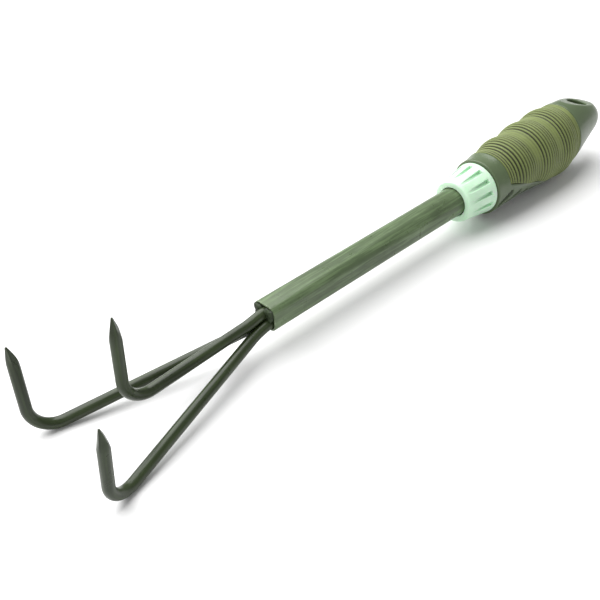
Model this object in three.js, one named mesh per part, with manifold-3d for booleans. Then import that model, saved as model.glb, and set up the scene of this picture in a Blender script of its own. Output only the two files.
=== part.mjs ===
// Three-tine hand cultivator: three hooked rods welded into a pressed steel tube,
// a fluted collar, and a plastic handle with a soft grip moulded over it.
//
// The tool is drawn along X with the tube mouth at X = 0, the tines towards -X, the handle
// towards +X and the tine points up (+Z). The last lines move it so that its origin is the
// middle of its footprint, on the surface that it lies on. All sizes are millimetres.

import * as THREE from 'three';
import { mergeVertices } from 'three/addons/utils/BufferGeometryUtils.js';
import Module from 'manifold-3d';

const wasm = await Module();
wasm.setup();

// ------------------------------------------------------------------ driving dimensions

const gap = 0.3; // kept between pieces that touch or are welded

// Tines: bent round rod
const rodDiameter = 5.5;
const rodDepthInTube = 34; // how far the rods reach into the tube
const hookHeight = 46.5; // heel corner to point, on every tine
const heelBendRadius = 12.5; // to the middle of the rod
const mouthBendRadius = 20;
const outerReach = 109.6; // tube mouth to the outer heel corners
const outerSpread = 29.6; // tool axis to the outer heel corners
const outerDrop = 18; // tool axis down to the outer heel corners
const outerPointSpread = 33.6;
const centreReach = 79;
const centreDrop = 3.1; // tool axis down to the centre heel corner
const hookLean = 2.5; // the centre point stands this much behind its heel corner
const outerHookLean = 2;
const mouthBendDrop = 1.9; // the rods dip this much as they leave the tube
const outerDipStart = 1.5; // where the outer rods start to dip, outside the mouth
const splayStart = 9; // the outer rods run side by side this far out of the mouth
const centreDipStart = 0.5;
const centreDipEnd = 11;
const pointLength = 11;
const pointTipRadius = 0.45;
const outerPointForward = 1; // the tip stands this much in front of the rod's middle line
const centrePointForward = 0.4;
// Along a point: share of its length, share of the rod's radius, and how square it is
const pointTaper = [
  [0, 1, 0],
  [0.25, 0.92, 0.5],
  [0.5, 0.72, 1],
  [0.75, 0.45, 1],
];
const pointCornerReach = 1.1; // a point's corners, against a square drawn in the same circle

// Shank tube
const tubeDiameter = 16;
const tubeWall = 1;
const mouthHeadroom = 0.24; // spare height above and below the rods in the pressed end
const mouthCornerLimit = 3.8; // largest corner radius of the pressed end
const roundTubeLength = 9; // fully round tube in front of the collar
const tubeDepthShare = 0.49; // how far the tube runs into the handle, as a share of its length

// Weld beads in the mouth, one on each side of the centre rod
const weldForward = 1; // the beads stand this much out of the mouth
const weldLength = 12;
const weldParting = 2; // between the two beads, over the centre rod

// Collar
const collarNose = 137; // tube mouth to the collar's front face
const collarLength = 21;
const collarBoreClearance = 0.35;
const collarNoseWall = 2.55; // around the tube, at the front face
const collarNoseThickness = 5; // solid ring ahead of the handle's spigot
const collarShoulder = 2.4; // length of the rounded nose
const collarShoulderRise = 0.62; // share of the nose's rise that is reached a third of the way
const collarFluteWall = 0.9; // between the flutes and the spigot
const collarTaper = 2.3; // the rear rim stands this much further out than the shoulder
const rearEdgeLength = 0.8;
const rearEdgeDrop = 0.5;
const fluteCount = 13;
const fluteWidth = 2.2;
const fluteDepthAtShoulder = 0.1;
const fluteRearLand = 3.4; // plain band behind the flutes
const flutePhase = 19.4; // degrees from the top to the first flute

// Handle
const handleLength = 110.1;
const spigotWall = 2.7; // handle plastic around the tube, inside the collar
const handleStep = 1.3; // the handle's front rim stands this much outside the collar's
const gripStart = 9.6; // length of the bare ring in front of the grip
const tailLength = 35; // hard tail behind the grip
const gripThickness = 3;
const swellPitch = 20.2;
const swellHeight = 0.8;
const swellFade = 4; // the swells die out over this length at the grip's ends
const firstSwell = 24; // handle front to the first finger swell
const hangHoleDiameter = 11.6;
const hangHoleFromEnd = 15.7;
const hangFaceReach = 11; // the flat around the hang hole is looked for this far out
const hangFaceDepth = 2.4; // how deep that flat is cut into the rounded top

// Hard panel under the grip, with its slots
const panelFrontHeight = 4; // top edge of the panel above the tool axis, at its front
const panelSlope = 0.38; // fall of that edge for each millimetre along the handle
const panelShare = 0.8; // length of the panel as a share of the grip's
const slotCount = 5; // on each side
const slotPitch = 7.8;
const slotLength = 12;
const slotWidth = 2.4;
const slotDepth = 2.2;
const slotStart = 6.4; // handle front to the middle of the first slot
const slotLean = 0.56; // radians above the tool axis
const slotBelowEdge = 9;

// Cutting bodies reach this far past what they cut, and lofts have rings this far apart
const overrun = 2;
const outsidePitch = 2.7;
const insidePitch = 6;

// ------------------------------------------------------------------ derived places

const rodRadius = rodDiameter / 2;
const tubeRadius = tubeDiameter / 2;
const rodPitch = rodDiameter + gap;
const rodSide = rodPitch / 2; // tool axis to the middle of an outer rod in the tube
const rodStack = Math.sqrt(rodPitch ** 2 - rodSide ** 2); // centre rod above the outer ones
const mouthHalfWidth = rodSide + rodRadius + gap + tubeWall;
const mouthHalfHeight = rodStack / 2 + rodRadius + gap + tubeWall + mouthHeadroom;
// The lower corners follow the rods, but stay tight enough for thick rods to clear them
// further in, where the tube is rounder
const mouthCornerRadius = Math.min(rodRadius + gap + tubeWall, mouthCornerLimit);
const lowerRodHeight = tubeWall + gap + rodRadius - mouthHalfHeight;
const upperRodHeight = lowerRodHeight + rodStack;
const pressedLength = collarNose - roundTubeLength;
const collarRear = collarNose + collarLength;
const collarBore = tubeRadius + collarBoreClearance;
const collarNoseRadius = collarBore + collarNoseWall;
const spigotRadius = tubeRadius + gap + spigotWall;
const collarSocket = spigotRadius + gap;
const fluteFloorRadius = collarSocket + collarFluteWall;
const collarShoulderRadius = fluteFloorRadius + fluteDepthAtShoulder;
const collarRearRadius = collarShoulderRadius + collarTaper;
const handleFront = collarRear + gap;
const handleEnd = handleFront + handleLength;
const tubeLength = handleFront + tubeDepthShare * handleLength;
const gripFront = handleFront + gripStart;
const gripEnd = handleEnd - tailLength;
const panelEnd = gripFront + panelShare * (gripEnd - gripFront);
const hangHoleX = handleEnd - hangHoleFromEnd;
const farOut = 2 * handleLength; // wider than any section of the tool

// Handle outline: share of its length, then half width, top and bottom from the tool axis,
// as multiples of the front rim's radius
const frontRimRadius = collarRearRadius + handleStep;
const handleOutline = [
  [0, 1, 1, -1.02],
  [0.05, 1.013, 1.019, -1],
  [0.09, 1.044, 1.075, -0.969],
  [0.253, 1.132, 1.22, -0.95],
  [0.381, 1.17, 1.314, -1.063],
  [0.5, 1.208, 1.371, -1.151],
  [0.61, 1.176, 1.403, -1.151],
  [0.71, 1.057, 1.403, -0.943],
  [0.793, 0.943, 1.365, -0.66],
  [0.856, 0.855, 1.277, -0.428],
  [0.916, 0.748, 1.119, -0.239],
  [0.962, 0.572, 0.925, -0.063],
  [0.986, 0.38, 0.755, 0.05],
  [1, 0.094, 0.453, 0.176],
].map(([share, ...sizes]) => [share, ...sizes.map((size) => size * frontRimRadius)]);

// ------------------------------------------------------------------ shape helpers

// Value of one column of a table of [position, value, value, ...], on a smooth curve
function smoothValue(table, column, position) {
  const last = table.length - 1;
  const at = THREE.MathUtils.clamp(position, table[0][0], table[last][0]);
  let i = 0;
  while (i < last - 1 && at > table[i + 1][0]) i += 1;
  const slope = (k) => {
    const a = table[Math.max(k - 1, 0)];
    const b = table[Math.min(k + 1, last)];
    return (b[column] - a[column]) / (b[0] - a[0]);
  };
  const span = table[i + 1][0] - table[i][0];
  const t = (at - table[i][0]) / span;
  const p = table[i][column];
  const q = table[i + 1][column];
  const h = t * t * (3 - 2 * t);
  const startPart = t * (1 - t) * (1 - t) * span * slope(i);
  const endPart = t * t * (t - 1) * span * slope(i + 1);
  return p + (q - p) * h + startPart + endPart;
}

// Closed mesh through rings of equal point counts. Open lofts get flat caps; a looped one
// joins its last ring to its first.
function loft(rings, looped = false) {
  const count = rings[0].length;
  const positions = [];
  for (const ring of rings) {
    for (const point of ring) positions.push(point.x, point.y, point.z);
  }
  const index = [];
  const spans = looped ? rings.length : rings.length - 1;
  for (let i = 0; i < spans; i += 1) {
    const a = i * count;
    const b = ((i + 1) % rings.length) * count;
    for (let k = 0; k < count; k += 1) {
      const next = (k + 1) % count;
      index.push(a + k, a + next, b + next);
      index.push(a + k, b + next, b + k);
    }
  }
  if (!looped) {
    for (const [ring, start, flip] of [
      [rings[0], 0, true],
      [rings[rings.length - 1], (rings.length - 1) * count, false],
    ]) {
      const middle = new THREE.Vector3();
      for (const point of ring) middle.addScaledVector(point, 1 / count);
      const hub = positions.length / 3;
      positions.push(middle.x, middle.y, middle.z);
      for (let k = 0; k < count; k += 1) {
        const next = (k + 1) % count;
        if (flip) index.push(hub, start + next, start + k);
        else index.push(hub, start + k, start + next);
      }
    }
  }
  const geometry = new THREE.BufferGeometry();
  geometry.setAttribute('position', new THREE.Float32BufferAttribute(positions, 3));
  geometry.setIndex(index);
  return faceOutwards(geometry);
}

// Turns every triangle over if the mesh encloses a negative volume
function faceOutwards(geometry) {
  const at = geometry.getAttribute('position');
  const index = geometry.getIndex();
  const corners = [new THREE.Vector3(), new THREE.Vector3(), new THREE.Vector3()];
  let volume = 0;
  for (let i = 0; i < index.count; i += 3) {
    corners.forEach((corner, k) => corner.fromBufferAttribute(at, index.getX(i + k)));
    volume += corners[0].dot(corners[1].clone().cross(corners[2]));
  }
  if (volume < 0) {
    for (let i = 0; i < index.count; i += 3) {
      const second = index.getX(i + 1);
      index.setX(i + 1, index.getX(i + 2));
      index.setX(i + 2, second);
    }
  }
  return geometry;
}

function toSolid(source) {
  let geometry = source.clone();
  geometry.deleteAttribute('normal');
  geometry.deleteAttribute('uv');
  geometry = mergeVertices(geometry, 1e-4);
  const mesh = new wasm.Mesh({
    numProp: 3,
    vertProperties: Float32Array.from(geometry.getAttribute('position').array),
    triVerts: Uint32Array.from(geometry.getIndex().array),
  });
  return new wasm.Manifold(mesh);
}

function toGeometry(solid) {
  const mesh = solid.getMesh();
  const geometry = new THREE.BufferGeometry();
  geometry.setAttribute('position', new THREE.Float32BufferAttribute(mesh.vertProperties, 3));
  geometry.setIndex(new THREE.Uint32BufferAttribute(mesh.triVerts, 1));
  return geometry;
}

// Round bar along X from one place to another
function barAlongX(radius, from, to, sides = 40) {
  const geometry = new THREE.CylinderGeometry(radius, radius, to - from, sides);
  geometry.rotateZ(-Math.PI / 2);
  geometry.translate((from + to) / 2, 0, 0);
  return geometry;
}

// A profile of [x, radius] points turned about X
function turned(profile, sides = 52) {
  const points = profile.map(([x, radius]) => new THREE.Vector2(radius, x));
  points.push(points[0].clone());
  const geometry = new THREE.LatheGeometry(points, sides);
  geometry.rotateZ(-Math.PI / 2);
  const merged = geometry.clone();
  merged.deleteAttribute('normal');
  merged.deleteAttribute('uv');
  return faceOutwards(mergeVertices(merged, 1e-4));
}

function named(name, geometry, material) {
  let surface = geometry.clone();
  surface.deleteAttribute('normal');
  surface.deleteAttribute('uv');
  surface = mergeVertices(surface, 1e-4);
  surface.computeVertexNormals();
  const mesh = new THREE.Mesh(surface, material);
  mesh.name = name;
  return mesh;
}

// ------------------------------------------------------------------ materials

const painted = (color) => new THREE.MeshStandardMaterial({ color, roughness: 0.42, metalness: 0.1 });
const bareWeld = () => new THREE.MeshStandardMaterial({ color: 0x3a4230, roughness: 0.8, metalness: 0.3 });
const mintPlastic = () => new THREE.MeshStandardMaterial({ color: 0xbdf0c8, roughness: 0.35, metalness: 0 });
const hardPlastic = () => new THREE.MeshStandardMaterial({ color: 0x5f7360, roughness: 0.45, metalness: 0 });
const softGrip = () => new THREE.MeshStandardMaterial({ color: 0x66724a, roughness: 0.75, metalness: 0 });

// ------------------------------------------------------------------ tines

// Points, directions and distances along a run of straight lengths joined by round bends
function bentRoute(corners, bendRadii, bendSteps = 6) {
  const route = [];
  const push = (point, direction) => route.push({ point, direction });
  const along = (a, b) => b.clone().sub(a).normalize();
  push(corners[0].clone(), along(corners[0], corners[1]));
  for (let i = 1; i < corners.length - 1; i += 1) {
    const incoming = along(corners[i - 1], corners[i]);
    const outgoing = along(corners[i], corners[i + 1]);
    const turn = incoming.angleTo(outgoing);
    const setBack = bendRadii[i - 1] * Math.tan(turn / 2);
    const start = corners[i].clone().addScaledVector(incoming, -setBack);
    const inward = outgoing.clone().addScaledVector(incoming, -incoming.dot(outgoing)).normalize();
    const steps = Math.max(2, Math.ceil((bendSteps * turn) / (Math.PI / 2)));
    for (let k = 0; k <= steps; k += 1) {
      const angle = (turn * k) / steps;
      const point = start.clone().addScaledVector(incoming, bendRadii[i - 1] * Math.sin(angle));
      point.addScaledVector(inward, bendRadii[i - 1] * (1 - Math.cos(angle)));
      const direction = incoming.clone().multiplyScalar(Math.cos(angle));
      push(point, direction.addScaledVector(inward, Math.sin(angle)).normalize());
    }
  }
  const last = corners.length - 1;
  push(corners[last].clone(), along(corners[last - 1], corners[last]));
  return route;
}

// Round rod along a route, forged to a four-sided point at its far end, its tip set forward
function pointedRod(route, forward, sides = 16) {
  const end = route[route.length - 1];
  const shoulder = end.point.clone().addScaledVector(end.direction, -pointLength);
  const stations = route.slice(0, -1).map((station) => ({ ...station, radius: rodRadius, square: 0 }));
  for (const [share, size, square] of [...pointTaper, [1, pointTipRadius / rodRadius, 1]]) {
    const point = shoulder.clone().addScaledVector(end.direction, pointLength * share);
    point.x -= forward * share ** 2;
    stations.push({ point, direction: end.direction, radius: rodRadius * size, square });
  }
  let side = new THREE.Vector3(0, 1, 0);
  const rings = stations.map(({ point, direction, radius, square }) => {
    side = side.clone().addScaledVector(direction, -side.dot(direction)).normalize();
    const up = direction.clone().cross(side);
    const ring = [];
    for (let k = 0; k < sides; k += 1) {
      const angle = (2 * Math.PI * k) / sides;
      const c = Math.cos(angle);
      const s = Math.sin(angle);
      const diamond = 1 / (Math.abs(c) + Math.abs(s));
      const reach = radius * (1 + square * (diamond * pointCornerReach - 1));
      ring.push(point.clone().addScaledVector(side, reach * c).addScaledVector(up, reach * s));
    }
    return ring;
  });
  return loft(rings);
}

// Hook direction: straight up from the heel corner, leaning back and out
function pointAbove(heel, lean, outward) {
  const across = Math.hypot(lean, outward);
  const rise = Math.sqrt(hookHeight ** 2 - across ** 2);
  return new THREE.Vector3(heel.x + lean, heel.y + outward, heel.z + rise);
}

function outerTine(side) {
  const heel = new THREE.Vector3(-outerReach, side * outerSpread, -outerDrop);
  const corners = [
    new THREE.Vector3(rodDepthInTube, side * rodSide, lowerRodHeight),
    new THREE.Vector3(-outerDipStart, side * rodSide, lowerRodHeight),
    new THREE.Vector3(-splayStart, side * rodSide, lowerRodHeight - mouthBendDrop),
    heel,
    pointAbove(heel, outerHookLean, side * (outerPointSpread - outerSpread)),
  ];
  const route = bentRoute(corners, [mouthBendRadius, mouthBendRadius, heelBendRadius]);
  return pointedRod(route, outerPointForward);
}

function centreTine() {
  const heel = new THREE.Vector3(-centreReach, 0, -centreDrop);
  const corners = [
    new THREE.Vector3(rodDepthInTube, 0, upperRodHeight),
    new THREE.Vector3(-centreDipStart, 0, upperRodHeight),
    new THREE.Vector3(-centreDipEnd, 0, upperRodHeight - mouthBendDrop),
    heel,
    pointAbove(heel, hookLean, 0),
  ];
  const route = bentRoute(corners, [mouthBendRadius, mouthBendRadius, heelBendRadius]);
  return pointedRod(route, centrePointForward);
}

// ------------------------------------------------------------------ shank tube and weld

// Rounded rectangle across X, the same number of points whatever its shape
function roundedRing(x, halfWidth, halfHeight, cornerRadius, inset = 0, perCorner = 8) {
  const radius = Math.max(cornerRadius - inset, 0.4);
  const ring = [];
  [[1, 1], [-1, 1], [-1, -1], [1, -1]].forEach(([sy, sz], corner) => {
    for (let k = 0; k < perCorner; k += 1) {
      const angle = (Math.PI / 2) * (corner + k / (perCorner - 1));
      const y = sy * (halfWidth - inset - radius) + radius * Math.cos(angle);
      const z = sz * (halfHeight - inset - radius) + radius * Math.sin(angle);
      ring.push(new THREE.Vector3(x, y, z));
    }
  });
  return ring;
}

// Tube section at x: pressed nearly square at the mouth, round at the collar. The corner
// radius stops just short of the full radius so that every ring keeps its point count.
function tubeRing(x, inset) {
  const share = THREE.MathUtils.clamp(x / pressedLength, 0, 1);
  const ease = share * share * (3 - 2 * share) * 0.35 + share * 0.65;
  const halfWidth = THREE.MathUtils.lerp(mouthHalfWidth, tubeRadius, ease);
  const halfHeight = THREE.MathUtils.lerp(mouthHalfHeight, tubeRadius, ease);
  const corner = THREE.MathUtils.lerp(mouthCornerRadius, tubeRadius - 0.02, ease);
  return roundedRing(x, halfWidth, halfHeight, corner, inset);
}

function shankTube() {
  const stations = [0];
  const steps = 9;
  for (let k = 1; k <= steps; k += 1) stations.push((pressedLength * k) / steps);
  stations.push(tubeLength);
  const outside = stations.map((x) => tubeRing(x, 0));
  const inside = stations.map((x) => tubeRing(x, tubeWall)).reverse();
  return loft([...outside, ...inside], true);
}

// Weld metal on one side of the centre rod, filling the mouth's upper corner
function mouthWeld(side) {
  const from = -weldForward;
  const to = from + weldLength;
  const filling = toSolid(loft([from, to].map((x) => tubeRing(x, tubeWall + gap))));
  const length = weldLength + 2 * overrun;
  const span = 2 * tubeDiameter;
  const floor = new THREE.BoxGeometry(length, span, span);
  floor.translate((from + to) / 2, 0, (upperRodHeight + lowerRodHeight - span) / 2);
  const otherSide = new THREE.BoxGeometry(length, span, span);
  otherSide.translate((from + to) / 2, side * (weldParting - span) / 2, 0);
  let weld = filling.subtract(toSolid(floor)).subtract(toSolid(otherSide));
  for (const [rodY, rodZ] of [
    [0, upperRodHeight],
    [side * rodSide, lowerRodHeight],
  ]) {
    const room = barAlongX(rodRadius + gap, from - overrun, to + overrun, 24);
    room.translate(0, rodY, rodZ);
    weld = weld.subtract(toSolid(room));
  }
  return toGeometry(weld);
}

// ------------------------------------------------------------------ collar

function collar() {
  const shoulderX = collarNose + collarShoulder;
  const nearShoulder = THREE.MathUtils.lerp(collarNoseRadius, collarShoulderRadius, collarShoulderRise);
  const profile = [
    [collarNose, collarBore],
    [collarNose, collarNoseRadius],
    [collarNose + collarShoulder / 3, nearShoulder],
    [shoulderX, collarShoulderRadius],
    [collarRear - rearEdgeLength, collarRearRadius],
    [collarRear, collarRearRadius - rearEdgeDrop],
    [collarRear, collarSocket],
    [collarNose + collarNoseThickness, collarSocket],
    [collarNose + collarNoseThickness, collarBore],
  ];
  let body = toSolid(turned(profile));
  for (let k = 0; k < fluteCount; k += 1) {
    const cutter = fluteCutter(collarNose - overrun, collarRear - fluteRearLand);
    cutter.rotateX(THREE.MathUtils.degToRad(flutePhase + (360 * k) / fluteCount));
    body = body.subtract(toSolid(cutter));
  }
  return toGeometry(body);
}

// Groove with a round floor, along X, its floor at one radius from end to end
function fluteCutter(from, to) {
  const outline = new THREE.Shape();
  const half = fluteWidth / 2;
  const top = collarRearRadius + overrun;
  outline.moveTo(half, top);
  outline.lineTo(-half, top);
  outline.lineTo(-half, fluteFloorRadius + half);
  outline.absarc(0, fluteFloorRadius + half, half, Math.PI, 2 * Math.PI, false);
  outline.lineTo(half, top);
  const cutter = new THREE.ExtrudeGeometry(outline, {
    depth: to - from,
    bevelEnabled: false,
    curveSegments: 6,
  });
  cutter.rotateY(Math.PI / 2); // extrusion along X, outline width along Z
  cutter.rotateX(Math.PI / 2); // width along Y, height along Z
  cutter.translate(from, 0, 0);
  return cutter;
}

// ------------------------------------------------------------------ handle

// Height of the finger swells at x, full on top and fading underneath
function swellAt(x, angle) {
  if (x < gripFront || x > gripEnd) return 0;
  const fade = Math.min(1, (x - gripFront) / swellFade, (gripEnd - x) / swellFade);
  const wave = Math.cos((2 * Math.PI * (x - handleFront - firstSwell)) / swellPitch);
  const aroundTop = 0.5 + 0.5 * Math.cos(angle);
  return fade * swellHeight * wave * Math.sqrt(aroundTop);
}

// Ring of the handle's outside at x, moved inwards by inset
function handleRing(x, inset, swells, sides = 44) {
  const share = (x - handleFront) / handleLength;
  const halfWidth = smoothValue(handleOutline, 1, share) - inset;
  const top = smoothValue(handleOutline, 2, share) - inset;
  const bottom = smoothValue(handleOutline, 3, share) + inset;
  const middle = (top + bottom) / 2;
  const halfHeight = (top - bottom) / 2;
  const ring = [];
  for (let k = 0; k < sides; k += 1) {
    const angle = (2 * Math.PI * k) / sides; // zero at the top
    const extra = swells ? swellAt(x, angle) : 0;
    const y = (halfWidth + extra) * Math.sin(angle);
    const z = middle + (halfHeight + extra) * Math.cos(angle);
    ring.push(new THREE.Vector3(x, y, z));
  }
  return ring;
}

function spread(from, to, pitch) {
  const count = Math.max(1, Math.round((to - from) / pitch));
  return Array.from({ length: count + 1 }, (_, k) => from + ((to - from) * k) / count);
}

const panelEdgeAt = (x) => panelFrontHeight - panelSlope * (x - gripFront);

// Everything below the panel's edge: a block whose top slopes down towards the handle's end
function panelBlock(grow) {
  const front = handleFront - overrun;
  const back = panelEnd + grow;
  const outline = new THREE.Shape();
  outline.moveTo(front, -farOut);
  outline.lineTo(back, -farOut);
  outline.lineTo(back, panelEdgeAt(back) + grow);
  outline.lineTo(front, panelEdgeAt(front) + grow);
  outline.closePath();
  const block = new THREE.ExtrudeGeometry(outline, { depth: farOut, bevelEnabled: false });
  block.rotateX(Math.PI / 2);
  block.translate(0, farOut / 2, 0);
  return block;
}

// Solid with the handle's sections from one place to another
function handleRun(from, to, inset, swells, pitch) {
  return toSolid(loft(spread(from, to, pitch).map((x) => handleRing(x, inset, swells))));
}

function gripSleeve() {
  const outside = handleRun(gripFront, gripEnd, 0, true, outsidePitch);
  const inside = handleRun(gripFront - overrun, gripEnd + overrun, gripThickness, false, insidePitch);
  return toGeometry(outside.subtract(inside).subtract(toSolid(panelBlock(gap))));
}

function handleCore() {
  const seat = gripThickness + gap;
  const seatFrom = gripFront - gap;
  const seatTo = gripEnd + gap;
  const frontPart = handleRun(handleFront, seatFrom, 0, false, outsidePitch);
  const middlePart = handleRun(seatFrom - overrun, seatTo + overrun, seat, false, insidePitch);
  const tailPart = handleRun(seatTo, handleEnd, 0, false, outsidePitch);
  const panelRound = handleRun(seatFrom - overrun, panelEnd, 0, false, outsidePitch);
  const panel = panelRound.intersect(toSolid(panelBlock(0)));
  const spigotFrom = collarNose + collarNoseThickness + gap;
  const spigot = toSolid(barAlongX(spigotRadius, spigotFrom, handleFront + overrun));
  const socket = toSolid(barAlongX(tubeRadius + gap, spigotFrom - overrun, tubeLength + gap));
  const core = frontPart.add(middlePart).add(tailPart).add(panel).add(spigot).subtract(socket);
  return toGeometry(core.subtract(hangHole()).subtract(panelSlots()));
}

// Hang hole through the tail, with the rounded top cut flat around it
function hangHole() {
  const bore = new THREE.CylinderGeometry(hangHoleDiameter / 2, hangHoleDiameter / 2, farOut, 36);
  bore.rotateX(Math.PI / 2);
  bore.translate(hangHoleX, 0, 0);
  const topAt = (x) => smoothValue(handleOutline, 2, (x - handleFront) / handleLength);
  const drop = topAt(hangHoleX - hangFaceReach) - topAt(hangHoleX + hangFaceReach);
  const flat = new THREE.BoxGeometry(2 * hangFaceReach, farOut, farOut);
  flat.translate(0, 0, farOut / 2 - hangFaceDepth);
  flat.rotateY(Math.atan2(drop, 2 * hangFaceReach));
  flat.translate(hangHoleX, 0, topAt(hangHoleX));
  return toSolid(bore).add(toSolid(flat));
}

// Short leaning slots on both sides of the panel, cut to one depth below its surface
function panelSlots() {
  const kept = handleRun(handleFront, panelEnd + overrun, slotDepth, false, outsidePitch);
  const half = slotWidth / 2;
  const run = slotLength / 2 - half;
  const outline = new THREE.Shape();
  outline.absarc(run, 0, half, -Math.PI / 2, Math.PI / 2, false);
  outline.absarc(-run, 0, half, Math.PI / 2, (3 * Math.PI) / 2, false);
  outline.closePath();
  let slots = null;
  for (let k = 0; k < slotCount; k += 1) {
    const x = handleFront + slotStart + k * slotPitch;
    const bar = new THREE.ExtrudeGeometry(outline, {
      depth: farOut,
      bevelEnabled: false,
      curveSegments: 5,
    });
    bar.rotateZ(slotLean);
    bar.rotateX(Math.PI / 2);
    bar.translate(x, farOut / 2, panelEdgeAt(x) - slotBelowEdge);
    const slot = toSolid(bar).subtract(kept);
    slots = slots ? slots.add(slot) : slot;
  }
  return slots;
}

// ------------------------------------------------------------------ assembly

const tool = new THREE.Group();
tool.add(
  named('tine_left', outerTine(1), painted(0x4a5a44)),
  named('tine_centre', centreTine(), painted(0x4c5c46)),
  named('tine_right', outerTine(-1), painted(0x4a5a45)),
  named('shank_tube', shankTube(), painted(0x4b5c48)),
  named('weld_left', mouthWeld(1), bareWeld()),
  named('weld_right', mouthWeld(-1), bareWeld()),
  named('collar', collar(), mintPlastic()),
  named('handle_core', handleCore(), hardPlastic()),
  named('grip_sleeve', gripSleeve(), softGrip()),
);

// Origin: middle of the footprint, on the surface the tool lies on
const bounds = new THREE.Box3().setFromObject(tool);
tool.position.set(-(bounds.min.x + bounds.max.x) / 2, -(bounds.min.y + bounds.max.y) / 2, -bounds.min.z);

export default tool;
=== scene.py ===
import math

import bmesh
import bpy
import numpy as np
from bpy.props import FloatProperty, FloatVectorProperty, IntProperty, PointerProperty
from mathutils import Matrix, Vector


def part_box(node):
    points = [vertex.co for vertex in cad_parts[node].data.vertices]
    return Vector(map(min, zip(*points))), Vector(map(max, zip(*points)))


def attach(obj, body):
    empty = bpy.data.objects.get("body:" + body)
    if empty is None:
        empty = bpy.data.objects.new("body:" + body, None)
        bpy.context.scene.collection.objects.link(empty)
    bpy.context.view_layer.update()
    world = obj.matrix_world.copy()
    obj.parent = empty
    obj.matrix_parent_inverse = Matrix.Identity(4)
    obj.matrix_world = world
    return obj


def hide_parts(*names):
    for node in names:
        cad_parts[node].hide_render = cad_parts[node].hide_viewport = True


bl_info = {
    "name": "Hand cultivator",
    "version": (1, 0, 0),
    "blender": (4, 5, 0),
    "location": "View3D > Sidebar > Cultivator",
    "description": "Builds the finished pieces of a three-tine hand cultivator on its CAD frame",
    "category": "Object",
}

# ---------------------------------------------------------------- places from the frame

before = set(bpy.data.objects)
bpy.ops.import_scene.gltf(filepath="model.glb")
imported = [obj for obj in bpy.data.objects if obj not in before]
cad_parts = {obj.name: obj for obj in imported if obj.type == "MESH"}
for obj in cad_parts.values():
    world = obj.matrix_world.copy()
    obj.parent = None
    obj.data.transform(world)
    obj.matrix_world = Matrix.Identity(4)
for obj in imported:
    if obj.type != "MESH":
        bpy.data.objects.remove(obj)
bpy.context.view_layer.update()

BODY = "root"
MM = 0.001
GAP = 0.3 * MM  # clearance between neighbouring pieces, as in the CAD model

TUBE_LOW, TUBE_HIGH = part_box("shank_tube")
COLLAR_LOW, COLLAR_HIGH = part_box("collar")
CORE_LOW, CORE_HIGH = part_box("handle_core")
GRIP_LOW, GRIP_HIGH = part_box("grip_sleeve")
RODS_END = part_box("tine_left")[1].x  # inside the tube

MOUTH_X = TUBE_LOW.x
AXIS_Z = (TUBE_LOW.z + TUBE_HIGH.z) / 2
TUBE_RADIUS = (TUBE_HIGH.z - TUBE_LOW.z) / 2
COLLAR_REAR_RADIUS = (COLLAR_HIGH.z - COLLAR_LOW.z) / 2
HANDLE_FRONT = COLLAR_HIGH.x + GAP
HANDLE_END = CORE_HIGH.x
HANDLE_LENGTH = HANDLE_END - HANDLE_FRONT
HANDLE_STEP = 1.3 * MM  # the handle's front rim stands this much outside the collar's
FRONT_RIM = COLLAR_REAR_RADIUS + HANDLE_STEP
SPIGOT_RADIUS = 11 * MM  # handle plastic inside the collar
TUBE_WALL = 1 * MM
MOUTH_HEADROOM = 0.24 * MM  # spare height above and below the rods in the pressed end

# Handle outline: share of its length, then half width, top and bottom from the tool axis,
# as multiples of the front rim's radius
OUTLINE = np.array([
    (0, 1, 1, -1.02),
    (0.05, 1.013, 1.019, -1),
    (0.09, 1.044, 1.075, -0.969),
    (0.253, 1.132, 1.22, -0.95),
    (0.381, 1.17, 1.314, -1.063),
    (0.5, 1.208, 1.371, -1.151),
    (0.61, 1.176, 1.403, -1.151),
    (0.71, 1.057, 1.403, -0.943),
    (0.793, 0.943, 1.365, -0.66),
    (0.856, 0.855, 1.277, -0.428),
    (0.916, 0.748, 1.119, -0.239),
    (0.962, 0.572, 0.925, -0.063),
    (0.986, 0.38, 0.755, 0.05),
    (1, 0.094, 0.453, 0.176),
])


# ---------------------------------------------------------------- settings

def length(name, default_mm, about):
    """A size in millimetres, kept as a Blender length in metres."""
    return FloatProperty(name=name, description=about, default=default_mm * MM, min=0.0,
                         precision=5, subtype="DISTANCE", unit="LENGTH")


def share(name, default, about):
    return FloatProperty(name=name, description=about, default=default, min=0.0, max=1.0,
                         subtype="FACTOR")


def colour(name, default, about):
    return FloatVectorProperty(name=name, description=about, default=default, size=3,
                               min=0.0, max=1.0, subtype="COLOR")


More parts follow.
